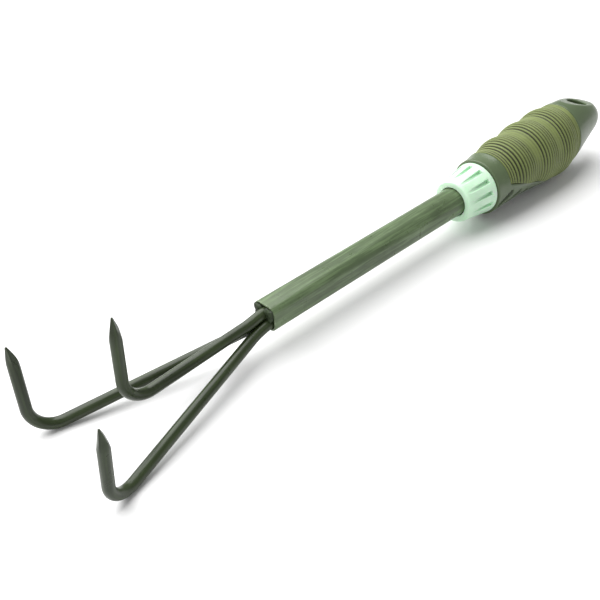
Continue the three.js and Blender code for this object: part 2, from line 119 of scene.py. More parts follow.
class TineSettings(bpy.types.PropertyGroup):
    rod: length("Rod diameter", 5.5, "Thickness of the bent rod")
    heel_bend: length("Heel bend radius", 12.5, "Radius of the hook's bend, to the rod's middle")
    mouth_bend: length("Mouth bend radius", 20, "Radius of the bends where the rods leave the tube")
    hook: length("Hook height", 46.5, "Heel corner to point")
    outer_reach: length("Outer reach", 109.6, "Tube mouth to the outer heel corners")
    outer_spread: length("Outer spread", 29.6, "Tool axis sideways to the outer heel corners")
    outer_drop: length("Outer drop", 18, "Tool axis down to the outer heel corners")
    point_spread: length("Point spread", 33.6, "Tool axis sideways to the outer points")
    centre_reach: length("Centre reach", 79, "Tube mouth to the centre heel corner")
    centre_drop: length("Centre drop", 3.1, "Tool axis down to the centre heel corner")
    outer_lean: length("Outer lean", 2, "How far the outer hooks lean back over their height")
    centre_lean: length("Centre lean", 2.5, "How far the centre hook leans back over its height")
    dip: length("Dip", 1.9, "How much the rods dip as they leave the tube")
    outer_dip_start: length("Outer dip start", 1.5, "Tube mouth to the outer rods' first bend")
    outer_dip_end: length("Outer dip end", 9, "Tube mouth to the outer rods' second bend")
    centre_dip_start: length("Centre dip start", 0.5, "Tube mouth to the centre rod's first bend")
    centre_dip_end: length("Centre dip end", 11, "Tube mouth to the centre rod's second bend")
    point: length("Point length", 11, "Length of the forged point")
    tip: length("Tip radius", 0.45, "Blunt end of the point")
    outer_forward: length("Outer tip offset", 1, "Outer tips in front of the rod's middle line")
    centre_forward: length("Centre tip offset", 0.4, "Centre tip in front of the rod's middle line")
    paint: colour("Paint", (0.018, 0.0275, 0.0095), "Green paint on the rods")


class ShankSettings(bpy.types.PropertyGroup):
    corner: length("Mouth corner radius", 3.8, "Corner radius of the pressed mouth")
    pressed: length("Pressed length", 128, "From the mouth to where the tube is round again")
    weld_out: length("Weld overhang", 1.1, "How far the weld metal hangs out past its CAD bead")
    weld_swell: share("Weld swell", 0.38, "How much wider the weld metal is outside the mouth")
    lump: length("Weld lump height", 0.6, "Height of the weld metal's lumps")
    paint: colour("Paint", (0.07, 0.103, 0.049), "Green paint on the tube")


class CollarSettings(bpy.types.PropertyGroup):
    flutes: IntProperty(name="Flutes", description="Number of flutes around the collar",
                        default=13, min=3, max=40)
    flute_width: length("Flute width", 2.2, "Width of one flute")
    floor: length("Flute floor radius", 12.2, "Tool axis to the floor of the flutes")
    shoulder: length("Nose length", 2.4, "Length of the rounded nose")
    nose_drop: length("Nose drop", 1.4, "Height of the nose's rounding")
    land: length("Rear land", 3.4, "Plain band behind the flutes")
    front: length("Front wall", 5, "Solid ring in front of the handle's spigot")
    clearance: length("Bore clearance", 0.35, "Room around the tube")
    phase: FloatProperty(name="Flute phase", description="Turn from the top to the first flute",
                         default=math.radians(19.4), subtype="ANGLE", unit="ROTATION")
    plastic: colour("Plastic", (0.56, 0.78, 0.58), "Mint moulded plastic")


class HandleSettings(bpy.types.PropertyGroup):
    slots: IntProperty(name="Slots", description="Slots on each side of the panel", default=5,
                       min=1, max=12)
    slot_pitch: length("Slot pitch", 7.8, "Distance between slots along the handle")
    slot_length: length("Slot length", 12, "Overall length of one slot")
    slot_width: length("Slot width", 2.4, "Width of one slot")
    slot_depth: length("Slot depth", 2.2, "Depth of one slot")
    slot_start: length("Slot start", 6.4, "Handle front to the middle of the first slot")
    slot_below_edge: length("Slot below edge", 9, "Panel edge down to the first slot's middle")
    slot_lean: FloatProperty(name="Slot lean", description="Lean of the slots above the tool axis",
                             default=0.56, min=0.0, max=1.5, subtype="ANGLE", unit="ROTATION")
    edge: length("Edge radius", 0.5, "Rounding of the moulded edges")
    hole: length("Hang hole diameter", 11.6, "Diameter of the hole through the tail")
    hole_from_end: length("Hang hole from end", 15.7, "Handle end to the middle of the hang hole")
    flat_reach: length("Flat reach", 11, "How far the flat around the hang hole reaches")
    flat_depth: length("Flat depth", 2.4, "How deep the flat is cut into the rounded top")
    plastic: colour("Plastic", (0.075, 0.108, 0.05), "Grey-green moulded plastic")


class GripSettings(bpy.types.PropertyGroup):
    thickness: length("Thickness", 3, "Thickness of the soft moulding")
    groove_pitch: length("Groove pitch", 2.1, "Distance between ring grooves")
    groove_depth: length("Groove depth", 0.8, "Depth of the ring grooves over the swells")
    first_groove: length("First groove", 10.9, "Handle front to the first ring groove")
    full_grooves: length("Full grooves", 17, "Handle front to the last groove that ignores the swells")
    valley_share: share("Valley share", 0.16, "Depth of the grooves between the swells")
    side_share: share("Side share", 0.45, "Depth of the grooves down the sides")
    edge: length("Edge radius", 0.45, "Rounding of the moulding's edges")
    swell_pitch: length("Swell pitch", 20.2, "Distance between finger swells")
    swell_height: length("Swell height", 0.8, "Height of the finger swells")
    first_swell: length("First swell", 24, "Handle front to the first finger swell")
    swell_fade: length("Swell fade", 4, "Length over which the swells die out at the grip's ends")
    rubber: colour("Rubber", (0.145, 0.18, 0.052), "Olive soft moulding")


class StageSettings(bpy.types.PropertyGroup):
    floor: colour("Floor", (0.8, 0.8, 0.8), "Pale floor")
    key: FloatProperty(name="Key light", description="Power of the overhead light in watts",
                       default=31.0, min=0.0, unit="POWER")
    fill: FloatProperty(name="Fill", description="Strength of the light from all round",
                        default=0.4, min=0.0)


# ---------------------------------------------------------------- shapes

def smooth_columns(table, at):
    """Columns of a table of [position, values...] on a smooth curve through its rows."""
    xs, last = table[:, 0], len(table) - 1
    at = np.clip(np.asarray(at, float), xs[0], xs[-1])
    i = np.clip(np.searchsorted(xs, at) - 1, 0, last - 1)

    def slope(k):
        a, b = np.maximum(k - 1, 0), np.minimum(k + 1, last)
        return (table[b] - table[a]) / (xs[b] - xs[a])[..., None]

    span = (xs[i + 1] - xs[i])[..., None]
    t = (at[..., None] - xs[i][..., None]) / span
    low, high = table[i], table[i + 1]
    blend = t * t * (3 - 2 * t)
    bends = t * (1 - t) ** 2 * slope(i) + t * t * (t - 1) * slope(i + 1)
    return (low + (high - low) * blend + bends * span)[..., 1:]


def handle_sizes(x):
    """Half width, half height and middle height (from the tool axis) of the handle at x."""
    sizes = smooth_columns(OUTLINE, (np.asarray(x) - HANDLE_FRONT) / HANDLE_LENGTH) * FRONT_RIM
    half_width, top, bottom = sizes[..., 0], sizes[..., 1], sizes[..., 2]
    return half_width, (top - bottom) / 2, (top + bottom) / 2


def handle_points(x, angle, inset=0.0, swell=0.0):
    """Points on the handle's surface. Angle is measured from the top."""
    x, angle = np.broadcast_arrays(np.asarray(x, float), np.asarray(angle, float))
    half_width, half_height, middle = handle_sizes(x)
    extra = swell - inset
    y = (half_width + extra) * np.sin(angle)
    z = AXIS_Z + middle + (half_height + extra) * np.cos(angle)
    return np.stack([x, y, z], axis=-1)


def circle_points(x, angle, radius):
    x, angle, radius = np.broadcast_arrays(*(np.asarray(v, float) for v in (x, angle, radius)))
    return np.stack([x, radius * np.sin(angle), AXIS_Z + radius * np.cos(angle)], axis=-1)


def smoothstep(value, low, high):
    t = np.clip((value - low) / (high - low), 0, 1)
    return t * t * (3 - 2 * t)


class Builder:
    """Collects grids and strips of points, and welds them into one closed mesh."""

    def __init__(self):
        self.points, self.faces, self.values = [], [], {}
        self.count = 0

    def grid(self, points, **values):
        """A sheet of quads through points[row][column]; values become point attributes."""
        rows, columns = points.shape[:2]
        start = self.count
        self.points.append(points.reshape(-1, 3))
        index = start + np.arange(rows * columns).reshape(rows, columns)
        quads = np.stack([index[:-1, :-1], index[:-1, 1:], index[1:, 1:], index[1:, :-1]], -1)
        self.faces.extend(quads.reshape(-1, 4).tolist())
        for key, value in values.items():
            flat = np.broadcast_to(value, (rows, columns)).reshape(-1)
            self.values.setdefault(key, []).append((start, flat))
        self.count += rows * columns
        return self

    def bridge(self, first, second):
        """Triangles between two lines of points with any number of points each."""
        start = self.count
        self.points += [first, second]
        a, b = 0, 0
        at_first = np.linspace(0, 1, len(first))
        at_second = np.linspace(0, 1, len(second))
        offset = start + len(first)
        while a < len(first) - 1 or b < len(second) - 1:
            step_first = b == len(second) - 1 or (
                a < len(first) - 1 and at_first[a + 1] <= at_second[b + 1])
            if step_first:
                self.faces.append([start + a, start + a + 1, offset + b])
                a += 1
            else:
                self.faces.append([start + a, offset + b + 1, offset + b])
                b += 1
        self.count += len(first) + len(second)
        return self

    def fan(self, ring, hub):
        """Closes a ring of points onto one point."""
        start = self.count
        self.points += [ring, np.asarray(hub, float)[None, :]]
        for k in range(len(ring) - 1):
            self.faces.append([start + k, start + k + 1, start + len(ring)])
        self.count += len(ring) + 1
        return self

    def finish(self, name, sharp_degrees=38.0):
        mesh = bpy.data.meshes.new(name)
        mesh.from_pydata(np.concatenate(self.points).tolist(), [], self.faces)
        for key, parts in self.values.items():
            data = np.zeros(self.count, np.float32)
            for start, flat in parts:
                data[start:start + len(flat)] = flat
            mesh.attributes.new(key, "FLOAT", "POINT").data.foreach_set("value", data)
        made = bmesh.new()
        made.from_mesh(mesh)
        bmesh.ops.remove_doubles(made, verts=made.verts, dist=2e-6)
        bmesh.ops.dissolve_degenerate(made, edges=made.edges, dist=1e-6)
        bmesh.ops.recalc_face_normals(made, faces=made.faces)
        made.to_mesh(mesh)
        made.free()
        piece = bpy.data.objects.new(name, mesh)
        bpy.context.scene.collection.objects.link(piece)
        shade(mesh, sharp_degrees)
        return piece


def shade(mesh, sharp_degrees):
    """Smooth shading with hard edges where faces meet at more than the given angle."""
    made = bmesh.new()
    made.from_mesh(mesh)
    limit = math.radians(sharp_degrees)
    for face in made.faces:
        face.smooth = True
    for edge in made.edges:
        edge.smooth = len(edge.link_faces) != 2 or edge.calc_face_angle(0.0) < limit
    made.to_mesh(mesh)
    made.free()


def settle(piece, node_names):
    """Hands a finished piece to the frame."""
    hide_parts(*node_names)
    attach(piece, BODY)
    return piece


# ---------------------------------------------------------------- node trees

def new_tree(name, **inputs):
    """A geometry node tree; each keyword is a kind of socket with the names of its inputs."""
    tree = bpy.data.node_groups.new(name, "GeometryNodeTree")

    def socket(label, kind, way="INPUT"):
        tree.interface.new_socket(label, in_out=way, socket_type="NodeSocket" + kind)

    socket("Geometry", "Geometry")
    for kind, labels in inputs.items():
        for label in labels:
            socket(label, kind)
    socket("Material", "Material")
    socket("Geometry", "Geometry", "OUTPUT")
    return tree, tree.nodes.new("NodeGroupInput").outputs


def add(tree, kind, links=None, **settings):
    """A node with its settings; links maps input names or numbers to sockets or values."""
    node = tree.nodes.new(kind)
    for key, value in settings.items():
        setattr(node, key, value)
    for key, value in (links or {}).items():
        if isinstance(value, bpy.types.NodeSocket):
            tree.links.new(value, node.inputs[key])
        else:
            node.inputs[key].default_value = value
    return node


def calc(tree, operation, *values, clamp=False):
    node = add(tree, "ShaderNodeMath", dict(enumerate(values)), operation=operation)
    node.use_clamp = clamp
    return node.outputs[0]


def vector(tree, **parts):
    return add(tree, "ShaderNodeCombineXYZ", parts).outputs[0]


def ramp(tree, value, low, high, to_low=0.0, to_high=1.0, curve="LINEAR"):
    """Maps low..high onto to_low..to_high, and holds the ends beyond them."""
    return add(tree, "ShaderNodeMapRange", {"Value": value, "From Min": low, "From Max": high,
               "To Min": to_low, "To Max": to_high}, interpolation_type=curve).outputs[0]


def field(tree, name):
    return add(tree, "GeometryNodeInputNamedAttribute", {"Name": name}, data_type="FLOAT").outputs[0]


def close_tree(tree, geometry, material):
    real = add(tree, "GeometryNodeRealizeInstances", {"Geometry": geometry})
    painted = add(tree, "GeometryNodeSetMaterial",
                  {"Geometry": real.outputs[0], "Material": material})
    out = tree.nodes.new("NodeGroupOutput")
    tree.links.new(painted.outputs[0], out.inputs[0])


def press_in(tree, given, cut):
    """Pushes the surface in by the cut's share of the depth, and keeps the cut for the finish, which
    paints shade into the cuts by it.
    """
    push = calc(tree, "MULTIPLY", calc(tree, "MULTIPLY", cut, given["Depth"]), -1.0)
    normal = tree.nodes.new("GeometryNodeInputNormal").outputs[0]
    offset = add(tree, "ShaderNodeVectorMath", {0: normal, "Scale": push}, operation="SCALE")
    stored = add(tree, "GeometryNodeStoreNamedAttribute",
                 {"Geometry": given["Geometry"], "Name": "groove", "Value": cut},
                 data_type="FLOAT", domain="POINT")
    moved = add(tree, "GeometryNodeSetPosition",
                {"Geometry": stored.outputs[0], "Offset": offset.outputs[0]})
    close_tree(tree, moved.outputs[0], given["Material"])


def keep_evaluated(piece):
    """Makes the outcome of a piece's modifiers its plain mesh."""
    bpy.context.view_layer.update()
    depsgraph = bpy.context.evaluated_depsgraph_get()
    mesh = bpy.data.meshes.new_from_object(
        piece.evaluated_get(depsgraph), preserve_all_data_layers=True, depsgraph=depsgraph)
    piece.modifiers.clear()
    piece.data = mesh
    mesh.name = piece.name


def bake_tree(piece, tree, values):
    """Runs a geometry node tree on a piece and keeps the result as its plain mesh."""
    modifier = piece.modifiers.new(tree.name, "NODES")
    modifier.node_group = tree
    for item in tree.interface.items_tree:
        if item.item_type == "SOCKET" and item.in_out == "INPUT" and item.name in values:
            modifier[item.identifier] = values[item.name]
    keep_evaluated(piece)


def groove_tree():
    """Ring grooves: deep over the finger swells, faint between them and down the sides."""
    tree, given = new_tree("Grip grooves", Float=(
        "Pitch", "Depth", "First groove", "Wall foot", "Wall top", "Swell pitch", "First swell",
        "Front end", "Valley", "Swell", "Valley share", "Side share", "Side start", "Side end"))
    along, around, outer = (field(tree, name) for name in ("along", "around", "outer"))
    turns = calc(tree, "DIVIDE", calc(tree, "SUBTRACT", along, given["First groove"]), given["Pitch"])
    off_centre = calc(tree, "ABSOLUTE", calc(tree, "SUBTRACT", calc(tree, "FRACT", turns), 0.5))
    profile = ramp(tree, off_centre, given["Wall top"], given["Wall foot"], curve="SMOOTHSTEP")
    from_swell = calc(tree, "SUBTRACT", along, given["First swell"])
    swell = calc(tree, "DIVIDE", from_swell, given["Swell pitch"])
    wave = calc(tree, "COSINE", calc(tree, "MULTIPLY", swell, 2 * math.pi))
    over_swell = ramp(tree, wave, given["Valley"], given["Swell"], given["Valley share"], 1.0,
                      "SMOOTHSTEP")
    at_front = ramp(tree, along, given["Front end"], given["First swell"], 1.0, 0.0)
    deep = calc(tree, "MAXIMUM", over_swell, at_front)
    on_side = ramp(tree, around, given["Side start"], given["Side end"], curve="SMOOTHSTEP")
    share_here = add(tree, "ShaderNodeMix", {0: on_side, 2: deep, 3: given["Side share"]}).outputs[0]
    press_in(tree, given, calc(tree, "MULTIPLY", share_here, calc(tree, "MULTIPLY", profile, outer)))
    return tree


def flute_tree():
    """Repeats one sector of the collar around the tool axis and welds the copies."""
    tree, given = new_tree("Collar sectors", Int=("Count",), Float=("Phase", "Axis height", "Weld"))
    centre = vector(tree, Z=given["Axis height"])
    points = add(tree, "GeometryNodePoints", {"Count": given["Count"], "Position": centre})
    number = tree.nodes.new("GeometryNodeInputIndex").outputs[0]
    step = calc(tree, "DIVIDE", 2 * math.pi, given["Count"])
    turn = calc(tree, "ADD", calc(tree, "MULTIPLY", number, step), given["Phase"])
    copies = add(tree, "GeometryNodeInstanceOnPoints", {"Points": points.outputs[0],
                 "Instance": given["Geometry"], "Rotation": vector(tree, X=turn)})
    real = add(tree, "GeometryNodeRealizeInstances", {"Geometry": copies.outputs[0]})
    welded = add(tree, "GeometryNodeMergeByDistance",
                 {"Geometry": real.outputs[0], "Distance": given["Weld"]})
    close_tree(tree, welded.outputs[0], given["Material"])
    return tree


def slot_tree():
    """Leaning slots in a row, pressed into the panel towards the tool's middle plane."""
    tree, given = new_tree("Panel slots", Int=("Count",), Vector=("First slot", "Step"),
                           Float=("Run", "Lean", "Half width", "Edge", "Depth"))
    row = add(tree, "GeometryNodeMeshLine", {"Count": given["Count"],
              "Start Location": given["First slot"], "Offset": given["Step"]}, mode="OFFSET")
    start = vector(tree, X=calc(tree, "MULTIPLY", calc(tree, "MULTIPLY", given["Run"], 0.5), -1.0))
    line = add(tree, "GeometryNodeMeshLine", {"Count": 2, "Start Location": start,
               "Offset": vector(tree, X=given["Run"])}, mode="OFFSET")
    lean = vector(tree, Y=calc(tree, "MULTIPLY", given["Lean"], -1.0))
    copies = add(tree, "GeometryNodeInstanceOnPoints", {"Points": row.outputs[0],
                 "Instance": line.outputs[0], "Rotation": lean})
    real = add(tree, "GeometryNodeRealizeInstances", {"Geometry": copies.outputs[0]})
    position = tree.nodes.new("GeometryNodeInputPosition").outputs[0]
    parts = add(tree, "ShaderNodeSeparateXYZ", {0: position}).outputs
    near = add(tree, "GeometryNodeProximity", {"Geometry": real.outputs[0],
               "Sample Position": vector(tree, X=parts["X"], Z=parts["Z"])}, target_element="EDGES")
    floor_edge = calc(tree, "SUBTRACT", given["Half width"], given["Edge"])
    brim = calc(tree, "ADD", given["Half width"], given["Edge"])
    inside = ramp(tree, near.outputs["Distance"], floor_edge, brim, 1.0, 0.0, "SMOOTHSTEP")
    press_in(tree, given, calc(tree, "MULTIPLY", inside, field(tree, "panel")))
    return tree


# ---------------------------------------------------------------- finishes

GRAIN_AND_HIGHLIGHT_STRETCH = 0.05  # drawn grain and the painted highlight streaks on it are this much finer across the tool than along it
BARE_STEEL = (0.24, 0.26, 0.21)
# painted shade colour for the floors of the collar's flutes
FLUTE_SHADE_MINT = (0.33, 0.62, 0.38)


def tone(colour_value, factor):
    return tuple(min(1.0, c * factor) for c in colour_value)


class Finish:
    """A material of colour layers on one shader; constants are set on the shader's sockets."""

    def __init__(self, name, **constants):
        self.material = bpy.data.materials.new(name)
        self.material.use_nodes = True
        self.nodes = self.material.node_tree
        self.shader = self.nodes.nodes["Principled BSDF"].inputs
        for key, value in constants.items():
            self.shader[key.replace("_", " ")].default_value = value
        self.at = self.space()

    def space(self, stretch=1.0):
        """Object coordinates, with features drawn out along the tool by 1 / stretch."""
        at = self.nodes.nodes.new("ShaderNodeTexCoord").outputs["Object"]
        return add(self.nodes, "ShaderNodeMapping", {"Vector": at, "Scale": (stretch, 1, 1)}).outputs[0]

    def noise(self, size, detail=3.0, roughness=0.55, at=None):
        """Noise whose features are about the given size in metres."""
        return add(self.nodes, "ShaderNodeTexNoise", {"Vector": at or self.at, "Scale": 1 / size,
                   "Detail": detail, "Roughness": roughness}).outputs["Fac"]

    def attribute(self, name):
        return add(self.nodes, "ShaderNodeAttribute", attribute_name=name).outputs["Fac"]

    def mix(self, factor, first, second):
        node = add(self.nodes, "ShaderNodeMix", data_type="RGBA")
        for key, value in (("Factor", factor), ("A", first), ("B", second)):
            socket = [s for s in node.inputs if s.name == key and s.enabled][0]
            if isinstance(value, bpy.types.NodeSocket):
                self.nodes.links.new(value, socket)
            else:
                socket.default_value = (*value, 1.0)
        self.base = [s for s in node.outputs if s.enabled][0]

    def two_tones(self, value, low, high, colour_value, dark, light):
        """The first layer: a dark and a light tone of one colour."""
        self.mix(ramp(self.nodes, value, low, high),
                 tone(colour_value, dark), tone(colour_value, light))

    def layer(self, value, low, high, amount, over):
        """Lays a colour over the base where the value rises from low to high."""
        self.mix(ramp(self.nodes, value, low, high, 0.0, amount), self.base, over)

    def bump(self, height, depth, strength, under=None):
        links = {"Height": height, "Distance": depth, "Strength": strength}
        if under is not None:
            links["Normal"] = under
        return add(self.nodes, "ShaderNodeBump", links).outputs[0]

    def close(self, **sockets):
        for key, value in {"Base_Color": self.base, **sockets}.items():
            self.nodes.links.new(value, self.shader[key.replace("_", " ")])
        return self.material


def paint_finish(name, paint, along_rod):
    """Satin paint over steel: faint drawn grain carrying painted highlight streaks, orange peel, dust
    specks and worn edges.
    """
    finish = Finish(name, Coat_Weight=0.1, Coat_Roughness=0.16, Specular_IOR_Level=0.3)
    nodes = finish.nodes
    if along_rod:
        run = calc(nodes, "MULTIPLY", finish.attribute("run"), GRAIN_AND_HIGHLIGHT_STRETCH)
        drawn = vector(nodes, X=run, Y=finish.attribute("lane_y"), Z=finish.attribute("lane_z"))
    else:
        drawn = finish.space(GRAIN_AND_HIGHLIGHT_STRETCH)
    finish.two_tones(finish.noise(30 * MM, 4.0), 0.3, 0.7, paint, 0.72, 1.3)
    grain_and_highlight_streaks = finish.noise(1.4 * MM, 5.0, 0.6, drawn)
    # Painted highlight: the light streaks, 2.5 times the paint, stand in for glossy highlight streaks
    # along the rods and tube
    finish.layer(grain_and_highlight_streaks, 0.46, 0.72, 0.7, tone(paint, 2.5))
    finish.layer(finish.noise(0.5 * MM, 2.0), 0.68, 0.76, 0.5, tone(paint, 0.55))
    chips = calc(nodes, "ADD", finish.attribute("wear"), finish.noise(1.1 * MM, 6.0, 0.7))
    worn = calc(nodes, "MULTIPLY", calc(nodes, "SUBTRACT", chips, 0.9), 6.0, clamp=True)
    finish.mix(worn, finish.base, BARE_STEEL)
    ripple = finish.bump(finish.noise(1.8 * MM, 2.0), 0.05 * MM, 0.6)
    return finish.close(Metallic=calc(nodes, "MULTIPLY", worn, 0.75),
                        Roughness=ramp(nodes, finish.noise(9 * MM, 5.0), 0.3, 0.7, 0.24, 0.42),
                        Normal=finish.bump(grain_and_highlight_streaks, 0.03 * MM, 0.6, ripple))


def weld_finish(paint):
    """Painted weld metal: blotchy, pitted and rough."""
    finish = Finish("weld_paint", Specular_IOR_Level=0.25)
    blotches = finish.noise(2.2 * MM, 5.0, 0.65)
    finish.two_tones(blotches, 0.32, 0.68, paint, 0.14, 0.62)
    pits = finish.noise(0.9 * MM, 6.0, 0.7)
    return finish.close(Roughness=ramp(finish.nodes, blotches, 0.3, 0.7, 0.42, 0.8),
                        Normal=finish.bump(pits, 0.35 * MM, 0.9))


def collar_finish(plastic):
    """Semi-gloss moulded plastic that lets a little light in, with painted shade in its flutes."""
    finish = Finish("collar_mint", Subsurface_Weight=0.4, Subsurface_Scale=1.0,
                    Subsurface_Radius=(0.6 * MM, 1.2 * MM, 0.7 * MM))
    finish.two_tones(finish.noise(12 * MM), 0.3, 0.7, plastic, 0.95, 1.06)
    # Painted shade: the flutes are darkened towards their floors
    finish.layer(finish.attribute("groove"), 0.0, 1.0, 0.5, FLUTE_SHADE_MINT)
    scuff = finish.noise(0.8 * MM, 5.0, 0.65, finish.space(0.2))
    finish.layer(scuff, 0.66, 0.8, 0.35, tone(plastic, 0.72))
    return finish.close(Roughness=ramp(finish.nodes, scuff, 0.3, 0.75, 0.26, 0.42),
                        Normal=finish.bump(finish.noise(0.6 * MM), 0.02 * MM, 0.5))


def handle_finish(plastic):
    """Hard grey-green plastic with a fine spark-eroded grain and light scuffs."""
    finish = Finish("handle_green", Coat_Weight=0.15, Coat_Roughness=0.2, Specular_IOR_Level=0.45)
    clouds = finish.noise(18 * MM, 4.0)
    finish.two_tones(clouds, 0.3, 0.7, plastic, 0.9, 1.1)
    scuff = finish.noise(1.2 * MM, 6.0, 0.7, finish.space(0.35))
    finish.layer(scuff, 0.62, 0.78, 0.35, tone(plastic, 1.6))
    # Painted shade: the slots are darkened almost to black by their depth
    finish.layer(finish.attribute("groove"), 0.0, 1.0, 0.95, tone(plastic, 0.12))
    return finish.close(Roughness=ramp(finish.nodes, clouds, 0.3, 0.7, 0.27, 0.4),
                        Normal=finish.bump(finish.noise(0.45 * MM, 4.0, 0.6), 0.05 * MM, 0.55))


def grip_finish(rubber):
    """Matte soft moulding: painted shade in the grooves, painted highlight on the swell crests and a
    fine grain.
    """
    finish = Finish("grip_olive", Sheen_Weight=0.15, Sheen_Roughness=0.4, Specular_IOR_Level=0.4)
    finish.two_tones(finish.noise(14 * MM, 4.0), 0.3, 0.7, rubber, 0.88, 1.12)
    # Painted shade: the ring grooves are darkened almost to black by their depth
    finish.layer(finish.attribute("groove"), 0.05, 0.6, 0.95, tone(rubber, 0.14))
    # Painted highlight: the tops of the finger swells are lightened
    finish.layer(finish.attribute("crest"), 0.0, 1.0, 0.2, tone(rubber, 1.25))
    dust = finish.noise(0.7 * MM, 5.0, 0.65)
    finish.layer(dust, 0.6, 0.78, 0.25, tone(rubber, 1.7))
    return finish.close(Roughness=ramp(finish.nodes, dust, 0.3, 0.7, 0.52, 0.68),
                        Normal=finish.bump(finish.noise(0.35 * MM, 4.0, 0.6), 0.05 * MM, 0.6))


def floor_finish(paper):
    finish = Finish("floor_paper", Roughness=0.9)
    finish.mix(finish.noise(60 * MM), tone(paper, 0.99), tone(paper, 1.01))
    return finish.close()


def give(piece, material):
    piece.data.materials.clear()
    piece.data.materials.append(material)
    return piece


# ---------------------------------------------------------------- tines

def mouth_sizes(rod):
    """Height of the centre rod over the outer ones, and the pressed mouth's half width and height."""
    pitch = rod + GAP
    stack = pitch * math.sin(math.pi / 3)
    around = rod / 2 + GAP + TUBE_WALL
    return stack, pitch / 2 + around, stack / 2 + around + MOUTH_HEADROOM


def bent_route(corners, radii, steps=18):
    """Points and directions along straight runs joined by round bends."""
    route = []
    corners = [np.array(c, float) for c in corners]

    def towards(a, b):
        return (b - a) / np.linalg.norm(b - a)

    route.append((corners[0], towards(corners[0], corners[1])))
    for i in range(1, len(corners) - 1):
        incoming = towards(corners[i - 1], corners[i])
        outgoing = towards(corners[i], corners[i + 1])
        turn = math.acos(float(np.clip(incoming @ outgoing, -1, 1)))
        radius = radii[i - 1]
        start = corners[i] - incoming * radius * math.tan(turn / 2)
        inward = outgoing - incoming * (incoming @ outgoing)
        inward /= np.linalg.norm(inward)
        count = max(3, math.ceil(steps * turn / (math.pi / 2)))
        for angle in np.linspace(0, turn, count + 1):
            aside = inward * radius * (1 - math.cos(angle))
            point = start + incoming * radius * math.sin(angle) + aside
            route.append((point, incoming * math.cos(angle) + inward * math.sin(angle)))
    route.append((corners[-1], towards(corners[-2], corners[-1])))
    return route


# Along a point: share of its length, share of the rod's radius, and how square it is
POINT_TAPER = np.array([(0, 1, 0), (0.25, 0.92, 0.5), (0.5, 0.72, 1), (0.75, 0.45, 1)])


def pointed_rod(name, route, radius, point_length, tip_radius, forward, sides=48):
    """Round rod forged to a four-sided point at its far end, its tip set forward."""
    end, direction = route[-1]
    stations = [(p, d, 1.0, 0.0) for p, d in route[:-1]]
    taper = np.vstack([POINT_TAPER, (1, tip_radius / radius, 1)])
    for along in np.linspace(0, 1, 17):
        size, square = smooth_columns(taper, np.array([along]))[0]
        place = end - direction * point_length * (1 - along) - np.array([forward * along ** 2, 0, 0])
        stations.append((place, direction, size, min(max(square, 0.0), 1.0)))
    side = np.array([0.0, 1.0, 0.0])
    angles = np.linspace(0, 2 * math.pi, sides + 1)
    rings, wear, run = [], [], [0.0]
    for place, heading, size, square in stations:
        side = side - heading * (side @ heading)
        side = side / np.linalg.norm(side)
        up = np.cross(heading, side)
        c, s = np.cos(angles), np.sin(angles)
        diamond = 1 / (np.abs(c) + np.abs(s))
        reach = radius * size * (1 + square * (np.minimum(diamond, 0.97) * 1.1 - 1))
        rings.append(place + reach[:, None] * (c[:, None] * side + s[:, None] * up))
        ridge = smoothstep(diamond, 0.86, 1.0) * square
        near_tip = smoothstep(np.linalg.norm(end - place), 2.5 * MM, 0.0)
        run.append(run[-1] + np.linalg.norm(place - stations[max(len(rings) - 2, 0)][0]))
        wear.append(np.maximum(ridge * 0.16, near_tip * 0.3))
    rings, wear = np.array(rings), np.array(wear)
    rings[:, -1] = rings[:, 0]
    built = Builder().grid(rings, wear=wear, run=np.array(run[1:])[:, None],
                           lane_y=radius * np.cos(angles), lane_z=radius * np.sin(angles))
    tip = rings[-1][:-1].mean(0)
    built.fan(rings[0], rings[0][:-1].mean(0)).fan(rings[-1], tip + direction * tip_radius * 0.35)
    return built.finish(name, 50.0)


class CULTIVATOR_OT_tines(bpy.types.Operator):
    """Build the three hooked rods with their forged points"""
    bl_idname = "cultivator.tines"
    bl_label = "Tines"

    def execute(self, context):
        sizes = context.scene.cultivator_tines
        radius = sizes.rod / 2
        stack, _, half_height = mouth_sizes(sizes.rod)
        side_y = radius + GAP / 2
        low_z = AXIS_Z + TUBE_WALL + GAP + radius - half_height
        high_z = low_z + stack
        bends = [sizes.mouth_bend, sizes.mouth_bend, sizes.heel_bend]
        paint = paint_finish("tine_paint", sizes.paint, True)
        outer = (low_z, sizes.outer_dip_start, sizes.outer_dip_end, sizes.outer_reach,
                 sizes.outer_drop, sizes.outer_lean, sizes.outer_forward)
        centre = (high_z, sizes.centre_dip_start, sizes.centre_dip_end, sizes.centre_reach,
                  sizes.centre_drop, sizes.centre_lean, sizes.centre_forward)
        for name, side, rod in (("left", 1, outer), ("right", -1, outer), ("centre", 0, centre)):
            tube_z, dip_start, dip_end, reach, drop, lean, forward = rod
            widening = abs(side) * (sizes.point_spread - sizes.outer_spread)
            rise = math.sqrt(sizes.hook ** 2 - lean ** 2 - widening ** 2)
            heel_x, heel_z = MOUTH_X - reach, AXIS_Z - drop
            corners = [
                (RODS_END, side * side_y, tube_z),
                (MOUTH_X - dip_start, side * side_y, tube_z),
                (MOUTH_X - dip_end, side * side_y, tube_z - sizes.dip),
                (heel_x, side * sizes.outer_spread, heel_z),
                (heel_x + lean, side * sizes.point_spread, heel_z + rise),
            ]
            piece = pointed_rod("painted_tine_" + name, bent_route(corners, bends), radius,
                                sizes.point, sizes.tip, forward)
            settle(give(piece, paint), ["tine_" + name])
        return {"FINISHED"}


# ---------------------------------------------------------------- shank

